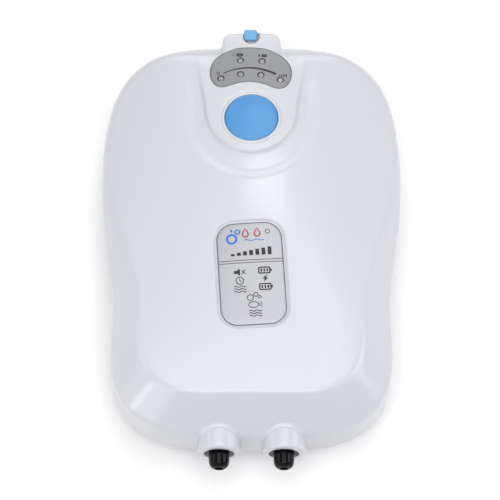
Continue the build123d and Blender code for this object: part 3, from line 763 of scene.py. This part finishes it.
def sheet_on_face(name, edge, top, bottom, rings=14, soften=0.12):
    """Thin closed sheet that follows the face: top and bottom are heights above it."""
    edge = np.array(edge, float)
    middle = edge.mean(0)
    rows = []

    def row(q, lift):
        xy = middle + (edge - middle) * q
        rows.append(np.column_stack([xy, dome(xy[:, 0], xy[:, 1]) + lift]))

    shrink = 1 - soften / np.abs(edge - middle).max()
    for q in np.linspace(0.02, shrink, rings):
        row(q, bottom)
    row(1, bottom)
    row(1, top - soften)
    row(1 - 0.3 * (1 - shrink), top - 0.35 * soften)
    row(shrink, top)
    for q in np.linspace(shrink, 0.02, rings)[1:]:
        row(q, top)
    count = len(edge)
    verts = np.concatenate(rows)
    faces = ring_quads(len(rows), count)
    last = (len(rows) - 1) * count
    faces.append(tuple(range(count)))
    faces.append(tuple(last + i for i in reversed(range(count))))
    obj = new_object(name, verts, faces)
    tidy(obj)
    return obj


def smooth_loop(points, per_span=8):
    """Closed Catmull-Rom curve through the points."""
    pts = np.array(points, float)
    count = len(pts)
    out = []
    for i in range(count):
        p0, p1, p2, p3 = (pts[(i + k) % count] for k in (-1, 0, 1, 2))
        for t in np.linspace(0, 1, per_span, endpoint=False):
            out.append(0.5 * (2 * p1 + (p2 - p0) * t + (2 * p0 - 5 * p1 + 4 * p2 - p3) * t**2
                              + (3 * p1 - p0 - 3 * p2 + p3) * t**3))
    return np.array(out)


def straight(start, end, steps):
    return [tuple(np.array(start) + (np.array(end) - np.array(start)) * t) for t in np.linspace(0, 1, steps)]


def overlay_loop(inset=0.0):
    """Overlay outline in its place, moved inwards by inset."""
    left = [(-x, y) for x, y in reversed(OVERLAY_EDGE[1:-1])]
    loop = smooth_loop([*OVERLAY_EDGE, *left])
    along = np.roll(loop, -1, 0) - np.roll(loop, 1, 0)
    inward = np.column_stack([along[:, 1], -along[:, 0]]) / np.linalg.norm(along, axis=1)[:, None]
    return np.array([on_overlay(u, v) for u, v in loop + inward * inset])


def rounded_label(inset=0.0):
    """Rounded rectangle of the label in its own plane, with points along its straight sides."""
    half_w, half_l, r = LABEL_WIDE / 2 - inset, LABEL_LONG / 2 - inset, LABEL_CORNER - inset
    points = []
    for sx, sy, start in ((1, 1, 0), (-1, 1, 90), (-1, -1, 180), (1, -1, 270)):
        for a in np.radians(np.linspace(start, start + 90, 12)):
            points.append((sx * (half_w - r) + r * math.cos(a), sy * (half_l - r) + r * math.sin(a)))
        following = {0: (-half_w + r, half_l), 90: (-half_w, -half_l + r), 180: (half_w - r, -half_l),
                     270: (half_w, half_l - r)}[start]
        points += straight(points[-1], following, 9)[1:-1]
    return points


def turn_label(u, v):
    c, s = math.cos(LABEL_TURN), math.sin(LABEL_TURN)
    return u * c - v * s, LABEL_Y + u * s + v * c


def on_overlay(u, v):
    c, s = math.cos(OVERLAY_TURN), math.sin(OVERLAY_TURN)
    return OVERLAY_X + u * c - v * s, OVERLAY_Y + u * s + v * c


def lamp_places():
    return [on_overlay(side * u, v) for u, v in LAMPS for side in (-1, 1)]


def overlay():
    sheet = sheet_on_face("overlay_sheet", overlay_loop(), OVERLAY_TOP, OVERLAY_BOTTOM)
    cuts = [cylinder((*place, 0), "z", 20, ABOVE_Z, LAMP_R, 40) for place in lamp_places()]
    boolean(sheet, cuts, "DIFFERENCE")
    shade(sheet, 40)
    return sheet


def power_button():
    r, top = BUTTON_R, BUTTON_TOP_Z
    bottom, flange_r, skirt_r, post_r = top - BUTTON_DEEP, r + 1.2, r - 1.4, 2.2
    crown = [(rad, top - BUTTON_CROWN * (rad / r) ** 2) for rad in np.linspace(AXIS_R, r - 0.8, 16)]
    edge = rounded([crown[-1], (r, top - BUTTON_CROWN - 0.1), (r, bottom)], 0.7, 7)
    profile = [*crown, *edge[1:], (flange_r, top - 7.0), (flange_r, bottom), (skirt_r, bottom),
               (skirt_r, top - 1.7), (post_r, top - 1.7), (post_r, top - 4.0), (AXIS_R, top - 4.0)]
    cap = lathe("power_button_cap", profile, (0, BUTTON_Y, 0), "z", 128, closed=False)
    shade(cap, 40)
    return cap


def button_surround():
    """Bright lip of the casing round the button, which follows the face."""
    turns = np.linspace(0, 2 * np.pi, SURROUND_POINTS, endpoint=False)
    rows = []
    for out, lift in SURROUND_SECTION:
        x = (BUTTON_R + out) * np.cos(turns)
        y = BUTTON_Y + (BUTTON_R + out) * np.sin(turns)
        rows.append(np.column_stack([x, y, dome(x, y) + TONGUE_RISE + lift]))
    faces = ring_quads(len(rows), SURROUND_POINTS) + closing_quads(len(rows), SURROUND_POINTS)
    ring = new_object("button_surround", np.concatenate(rows), faces)
    tidy(ring)
    return ring


def rounded_block(low, high, radius):
    """Closed block with rounded edges and corners."""
    (x0, y0, z0), (x1, y1, z1) = low, high
    verts = [(x, y, z) for z in (z0, z1) for x, y in ((x0, y0), (x1, y0), (x1, y1), (x0, y1))]
    faces = [(0, 3, 2, 1), (4, 5, 6, 7), (0, 1, 5, 4), (1, 2, 6, 5), (2, 3, 7, 6), (3, 0, 4, 7)]
    block = new_object("tool", verts, faces)
    bevel = block.modifiers.new("round", "BEVEL")
    bevel.width = radius * MM
    bevel.segments = 5
    apply_modifiers(block)
    return block


def disc_y(name, centre, radius, span, corner, segments):
    """Round disc along Y with rounded edges, about (x, z) and between two values of Y."""
    profile = rounded([(AXIS_R, span[0]), (radius, span[0]), (radius, span[1]), (AXIS_R, span[1])], corner)
    return lathe(name, profile, (centre[0], 0, centre[1]), "y", segments, closed=False)


def strap_bar():
    """Strap that leaves the tab and slopes down behind the hump, with rounded edges."""
    y0, y1 = COVER_Y[0] + 0.1, COVER_Y[1] - 0.25
    start_x, end_x, start_z = TAB_X[1] - 0.8, HINGE_X - 0.9, TAB_TOP_Z - 0.5
    rows = []
    for t in np.linspace(0, 1, 14):
        x = start_x + (end_x - start_x) * t
        top = start_z - (start_z - STRAP_Z) * min(1, x / end_x)
        low, r = top - STRAP_THICK, 0.3
        rows.append([(x, y0 + r, low), (x, y1 - r, low), (x, y1, low + r), (x, y1, top - r),
                     (x, y1 - r, top), (x, y0 + r, top), (x, y0, top - r), (x, y0, low + r)])
    faces = ring_quads(len(rows), 8) + [tuple(range(8)), tuple(len(rows) * 8 - 1 - i for i in range(8))]
    bar = new_object("tool", [p for row in rows for p in row], faces)
    tidy(bar)
    return bar


def charging_cover():
    """Round lid with a plug, a soft pull tab over the hump's notch and the strap."""
    lid = disc_y("charging_cover_piece", (0, PORT_Z), LID_R, (COVER_Y[0], COVER_Y[1] - 0.25), 0.5, 72)
    parts = [
        disc_y("tool", (0, PORT_Z), PLUG_R, PLUG_Y, 0.4, 48),
        rounded_block((TAB_X[0] + 0.1, COVER_Y[0], PORT_Z),
                      (TAB_X[1] - 0.1, COVER_Y[1], TAB_TOP_Z - 0.05), 0.55),
        rounded_block((TAB_X[0], TAB_Y, TAB_TOP_Z - TAB_THICK), (TAB_X[1], COVER_Y[1], TAB_TOP_Z), 0.75),
        strap_bar(),
    ]
    boolean(lid, parts, "UNION")
    shade(lid, 40)
    return lid


def cover_anchor():
    """End of the strap and the stem that holds it in the casing."""
    low, high = box_mm("cover_anchor")
    anchor = disc_y("cover_anchor_piece", (STRAP_STEM_X, PORT_Z), STEM_R, (low[1], low[1] + 2.5), 0.25, 32)
    end = rounded_block((low[0], COVER_Y[0] - 0.05, low[2]), high, 0.4)
    boolean(anchor, [end], "UNION")
    shade(anchor, 40)
    return anchor


def nozzle(side):
    low, high = box_mm(f"outlet_nozzle_{side}")
    x = (low[0] + high[0]) / 2
    tip = low[1]
    bore_r, sleeve_r, seat_r, flange_r = 1.4, 2.0, 4.0, 4.9
    outside = [(1.9, tip), (3.05, tip + 0.75), (NOZZLE_R, tip + 2.3), (NOZZLE_R, COLLAR_FLOOR_Y)]
    end = rounded(outside, 1.2, 9)
    profile = [(bore_r, high[1]), *rounded([(bore_r, tip + 2), (bore_r, tip), end[0]], 0.15, 3), *end[1:]]
    profile += [(seat_r, COLLAR_FLOOR_Y), (seat_r, NOZZLE_FLANGE_Y), (flange_r, NOZZLE_FLANGE_Y),
                (flange_r, NOZZLE_SLEEVE_Y), (sleeve_r, NOZZLE_SLEEVE_Y), (sleeve_r, high[1])]
    piece = lathe(f"nozzle_{side}", profile, (x, 0, OUTLET_Z), "y", 72)
    shade(piece, 50)
    return piece


# Print on the overlay and the label: thin raised strokes and patches of ink.
INK = 0.03
INK_DEEP = 0.05
PEN = 0.46
THIN_PEN = 0.3


class Print:
    """Collects strokes and patches drawn in a sheet's own plane, and makes one mesh of them."""

    def __init__(self, place, level):
        self.place, self.level = place, level
        self.verts, self.faces = [], []

    def put(self, u, v, lift):
        x, y = self.place(u, v)
        self.verts.append((x, y, float(dome(x, y)) + self.level + lift))
        return len(self.verts) - 1

    def stroke(self, points, width=PEN, closed=False):
        """Ribbon along the points; width may be one number or one for each point."""
        pts = np.array(points, float)
        wide = np.broadcast_to(width, len(pts))
        if closed:
            along = np.roll(pts, -1, 0) - np.roll(pts, 1, 0)
        else:
            along = np.gradient(pts, axis=0)
        side = np.column_stack([-along[:, 1], along[:, 0]]) / np.linalg.norm(along, axis=1)[:, None]
        rows = []
        for p, n, w in zip(pts, side, wide):
            a, b = p + n * w / 2, p - n * w / 2
            rows.append([self.put(*a, -INK_DEEP), self.put(*b, -INK_DEEP),
                         self.put(*b, INK), self.put(*a, INK)])
        pairs = list(zip(rows, rows[1:]))
        if closed:
            pairs.append((rows[-1], rows[0]))
        else:
            self.faces += [tuple(rows[0]), tuple(reversed(rows[-1]))]
        for a, b in pairs:
            self.faces += [(a[k], b[k], b[(k + 1) % 4], a[(k + 1) % 4]) for k in range(4)]

    def patch(self, points):
        """Filled convex shape."""
        low = [self.put(u, v, -INK_DEEP) for u, v in points]
        top = [self.put(u, v, INK) for u, v in points]
        count = len(points)
        self.faces += [tuple(reversed(low)), tuple(top)]
        for i in range(count):
            j = (i + 1) % count
            self.faces.append((low[i], low[j], top[j], top[i]))

    def ring(self, u, v, r, width=PEN):
        turns = np.linspace(0, 2 * np.pi, 24, endpoint=False)
        self.stroke([(u + r * math.cos(t), v + r * math.sin(t)) for t in turns], width, closed=True)

    def disc(self, u, v, r):
        turns = np.linspace(0, 2 * np.pi, 20, endpoint=False)
        self.patch([(u + r * math.cos(t), v + r * math.sin(t)) for t in turns])

    def bar(self, u0, u1, v0, v1):
        self.patch([(u0, v0), (u1, v0), (u1, v1), (u0, v1)])

    def finish(self, name, mat):
        obj = new_object(name, self.verts, self.faces, smooth=False)
        tidy(obj)
        paint(obj, mat)
        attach(obj, "casing")


def frame_points(u0, u1, v0, v1, corner=0.3):
    """Rounded rectangle as a closed line."""
    points = []
    for cu, cv, start in ((u1 - corner, v1 - corner, 0), (u0 + corner, v1 - corner, 90),
                          (u0 + corner, v0 + corner, 180), (u1 - corner, v0 + corner, 270)):
        for a in np.radians(np.linspace(start, start + 90, 4)):
            points.append((cu + corner * math.cos(a), cv + corner * math.sin(a)))
    return points


def battery_sign(pen, u, v, scale):
    pen.stroke(frame_points(u - 1.6 * scale, u + 1.3 * scale, v - 0.8 * scale, v + 0.8 * scale), PEN, True)
    pen.bar(u + 1.45 * scale, u + 1.8 * scale, v - 0.35 * scale, v + 0.35 * scale)
    for k in (-1, 0, 1):
        centre = u - 0.15 * scale + 0.78 * scale * k
        pen.bar(centre - 0.22 * scale, centre + 0.22 * scale, v - 0.42 * scale, v + 0.42 * scale)


def bolt_sign(pen, u, v, scale):
    for way in (1, -1):
        size = way * scale
        pen.patch([(u + 0.5 * size, v + 1.1 * size), (u - 0.8 * size, v - 0.15 * size),
                   (u + 0.15 * size, v - 0.1 * size)])


def wave_sign(pen, u, v, half, lines=2, pitch=0.75):
    for k in range(lines):
        level = v + pitch * (k - (lines - 1) / 2)
        us = np.linspace(-half, half, 22)
        pen.stroke([(u + a, level + 0.22 * math.sin(a / half * 2 * math.pi)) for a in us], THIN_PEN)


def drop_sign(pen, u, v, scale):
    radius, level = 0.75 * scale, v - 0.35 * scale

    def arc(start, end, count):
        turns = np.linspace(start * math.pi, end * math.pi, count)
        return [(u + radius * math.cos(t), level + radius * math.sin(t)) for t in turns]

    right = arc(-0.2, 0.2, 3)
    left = [(2 * u - a, b) for a, b in reversed(right)]
    pen.stroke([*arc(1.2, 1.8, 9), *right, (u, v + 1.2 * scale), *left], PEN, True)


def speaker_sign(pen, u, v, scale):
    """Loudspeaker with a cross beside it, for quiet running."""
    pen.bar(u - 1.5 * scale, u - 0.8 * scale, v - 0.4 * scale, v + 0.4 * scale)
    pen.patch([(u - 0.8 * scale, v - 0.4 * scale), (u + 0.1 * scale, v - 1.0 * scale),
               (u + 0.1 * scale, v + 1.0 * scale), (u - 0.8 * scale, v + 0.4 * scale)])
    for rise in (0.6 * scale, -0.6 * scale):
        pen.stroke(straight((u + 0.5 * scale, v - rise), (u + 1.5 * scale, v + rise), 3), THIN_PEN)


def clock_sign(pen, u, v, scale):
    pen.ring(u, v, 1.05 * scale, THIN_PEN)
    pen.stroke([(u, v + 0.7 * scale), (u, v), (u + 0.5 * scale, v - 0.3 * scale)], 0.26)


def bubbles_sign(pen, u, v, scale):
    pen.ring(u - 0.9 * scale, v - 0.35 * scale, 0.7 * scale, THIN_PEN)
    pen.ring(u + 0.45 * scale, v + 0.35 * scale, 0.5 * scale, 0.28)
    pen.ring(u + 1.3 * scale, v - 0.3 * scale, 0.32 * scale, 0.25)


def fish_sign(pen, u, v, scale):
    turns = np.linspace(0.12 * math.pi, 1.88 * math.pi, 22)
    body = [(u - 0.4 * scale - 1.2 * scale * math.cos(t), v + 0.75 * scale * math.sin(t))
            for t in turns + math.pi]
    tail = [(u + 1.6 * scale, v - 0.7 * scale), (u + 1.6 * scale, v + 0.7 * scale)]
    pen.stroke([*body, *tail], 0.28, True)


def print_overlay():
    """Dark edge line, a rising scale line, and small battery, bolt, low and high signs."""
    pen = Print(on_overlay, OVERLAY_TOP)
    edge = Print(lambda x, y: (x, y), OVERLAY_TOP)
    edge.stroke(overlay_loop(0.16), THIN_PEN, closed=True)
    us = np.linspace(-9.7, 8.9, 40)
    share = (us - us[0]) / (us[-1] - us[0])
    pen.stroke([(u, 1.42 - 0.0272 * (u + 0.2) ** 2) for u in us], 0.34 + 0.55 * share**1.2)
    battery_sign(pen, -4.1, 6.85, 0.62)
    pen.bar(-6.9, -6.1, 6.7, 7.0)
    bolt_sign(pen, 2.7, 6.85, 0.75)
    battery_sign(pen, 4.6, 6.85, 0.5)
    pen.ring(-11.5, -0.95, 0.5, 0.24)
    for k in range(4):
        pen.bar(9.9 + 0.8 * k, 10.35 + 0.8 * k, -1.6, -1.2 + 0.28 * k)
    pen.finish("overlay_print", ink)
    edge.finish("overlay_edge_line", ink_grey)


def print_label():
    """Edge line, a double rule and plain pictograms, with no lettering."""
    edge = Print(turn_label, LABEL_TOP)
    edge.stroke(rounded_label(0.17), THIN_PEN, closed=True)
    for v in (4.9, 3.95):
        edge.stroke(straight((-LABEL_WIDE / 2 + 0.3, v), (LABEL_WIDE / 2 - 0.3, v), 30), THIN_PEN)
    edge.finish("label_edge_line", ink_grey)

    blue = Print(turn_label, LABEL_TOP)
    blue.ring(-6.0, 12.9, 1.6, 0.75)
    blue.ring(-3.9, 15.4, 0.8, 0.5)
    blue.disc(-6.0, 15.9, 0.45)
    wave_sign(blue, 1.6, 12.2, 3.4, 1)
    blue.finish("label_blue_print", ink_blue)

    red = Print(turn_label, LABEL_TOP)
    drop_sign(red, -1.2, 14.9, 1.35)
    drop_sign(red, 2.8, 15.0, 1.35)
    red.finish("label_red_print", ink_red)

    black = Print(turn_label, LABEL_TOP)
    black.ring(6.4, 15.2, 0.75, 0.24)
    for k in range(7):
        left = -6.6 + 2.1 * k
        black.bar(left, left + 1.3, 6.6, 7.4 + 0.35 * k)
    speaker_sign(black, -4.0, 0.6, 1.3)
    clock_sign(black, -4.1, -2.5, 1.25)
    wave_sign(black, -4.1, -5.6, 2.1, 3, 0.95)
    battery_sign(black, 4.6, 0.9, 1.3)
    bolt_sign(black, 4.6, -2.0, 1.3)
    battery_sign(black, 4.6, -5.1, 1.3)
    bubbles_sign(black, 0.4, -8.3, 1.45)
    fish_sign(black, 0.6, -11.4, 1.4)
    wave_sign(black, 0.6, -14.5, 2.2, 3, 0.9)
    black.finish("label_black_print", ink)


front = front_shell()
paint(front, white)
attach(front, "casing")
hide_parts("front_shell")

rear = rear_shell()
paint(rear, white)
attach(rear, "casing")
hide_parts("rear_shell")

overlay_piece = overlay()
paint(overlay_piece, overlay_grey)
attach(overlay_piece, "casing")
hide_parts("indicator_overlay")

label_edge = [turn_label(u, v) for u, v in rounded_label()]
label_piece = sheet_on_face("label_sheet", label_edge, LABEL_TOP, LABEL_BOTTOM)
paint(label_piece, label_silver)
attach(label_piece, "casing")
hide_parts("label_plate")

print_overlay()
print_label()

button_piece = power_button()
paint(button_piece, blue_cap)
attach(button_piece, "power_button")
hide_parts("power_button")

surround = button_surround()
paint(surround, white)
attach(surround, "casing")

cover = charging_cover()
paint(cover, blue_rubber)
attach(cover, "charging_cover")
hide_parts("charging_cover")

anchor = cover_anchor()
paint(anchor, blue_rubber)
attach(anchor, "casing")
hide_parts("cover_anchor")

for side in ("left", "right"):
    piece = nozzle(side)
    paint(piece, black_gloss)
    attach(piece, "casing")
    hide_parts(f"outlet_nozzle_{side}")


# CAD nodes that stay, each with its own material.
KEPT = {
    "case_seal": rubber, "indicator_lamps": lens, "button_spring": steel, "tact_switch": dark_plastic,
    "control_board": board_green, "board_screws": steel, "board_components": dark_plastic,
    "charging_socket": dark_plastic,
    "battery_cell_lower": wrap, "battery_cell_upper": wrap, "battery_cradle": dark_plastic,
    "battery_contacts": nickel, "pump_chassis": grey_plastic, "soft_mounts": rubber, "chassis_screws": steel,
    "iron_core": iron, "coil_bobbin": ivory, "coil_winding": brass_wire, "case_screws": steel,
    "rubber_feet": foot_rubber, "inlet_foam": foam,
}
for side in ("left", "right"):
    KEPT |= {
        f"air_hose_{side}": hose_clear, f"swing_arm_{side}": grey_plastic, f"arm_magnet_{side}": nickel,
        f"arm_bush_{side}": rubber, f"arm_pin_{side}": steel, f"diaphragm_{side}": rubber,
        f"diaphragm_screw_{side}": steel, f"pump_head_{side}": grey_plastic, f"head_cover_{side}": ivory,
        f"flap_valves_{side}": rubber,
    }
for node, mat in KEPT.items():
    paint(nodes[node], mat)


# Camera, floor and light.
DISTANCE = 800.0
TILT = math.radians(23.5)
VIEW_WIDTH = 175.0
SENSOR = 36.0
TARGET = Vector((-0.5, 0.7, 20.0))
FLOOR_HALF = 3000
FLOOR_Z = -0.05
WORLD_STRENGTH = 0.25
LIGHT_POWER = 1.32
LIGHT_AIM = Vector((0, 0, 20))

toward = Vector((0, -math.sin(TILT), math.cos(TILT)))
cam_data = bpy.data.cameras.new("camera")
cam_data.sensor_width = SENSOR
cam_data.lens = SENSOR * DISTANCE / VIEW_WIDTH
camera = bpy.data.objects.new("camera", cam_data)
camera.location = (TARGET + toward * DISTANCE) * MM
camera.rotation_euler = (TILT, 0, 0)
bpy.context.scene.collection.objects.link(camera)
bpy.context.scene.camera = camera

floor_corners = [(x * FLOOR_HALF, y * FLOOR_HALF, FLOOR_Z) for x, y in ((-1, -1), (1, -1), (1, 1), (-1, 1))]
floor = new_object("floor", floor_corners, [(0, 1, 2, 3)])
floor_mat = textured("floor_paper", (0.9, 0.9, 0.9), 0.8, vary=0.01)
paint(floor, floor_mat)

world = bpy.data.worlds.new("world")
world.use_nodes = True
world.node_tree.nodes["Background"].inputs["Color"].default_value = (1, 1, 1, 1)
world.node_tree.nodes["Background"].inputs["Strength"].default_value = WORLD_STRENGTH
bpy.context.scene.world = world
bpy.context.scene.view_settings.view_transform = "Standard"


def area(name, place, size, power):
    """Softbox that faces the middle of the pump."""
    data = bpy.data.lights.new(name, "AREA")
    data.shape = "RECTANGLE"
    data.size, data.size_y = size[0] * MM, size[1] * MM
    data.energy = power
    light = bpy.data.objects.new(name, data)
    light.location = Vector(place) * MM
    light.rotation_euler = (LIGHT_AIM - Vector(place)).to_track_quat("-Z", "Y").to_euler()
    bpy.context.scene.collection.objects.link(light)


# Place, size and power of each light, before LIGHT_POWER scales them all.
LIGHTS = {
    "top": ((0, -100, 900), (700, 700), 2.75),
    "front": ((0, -560, 850), (900, 400), 2.6),
    "left": ((-900, 0, 500), (600, 600), 1.2),
    "right": ((900, 0, 500), (600, 600), 2.5),
    "back": ((0, 900, 500), (900, 400), 2.2),
    "front_left": ((-650, -650, 450), (450, 400), 0.9),
    "key_right": ((270, 330, 905), (110, 200), 0.16),
    "key_top": ((88, 475, 878), (230, 150), 0.56),
    "key_left": ((-830, -470, 270), (140, 160), 0.34),
}
for light_name, (place, size, power) in LIGHTS.items():
    area(light_name, place, size, LIGHT_POWER * power)
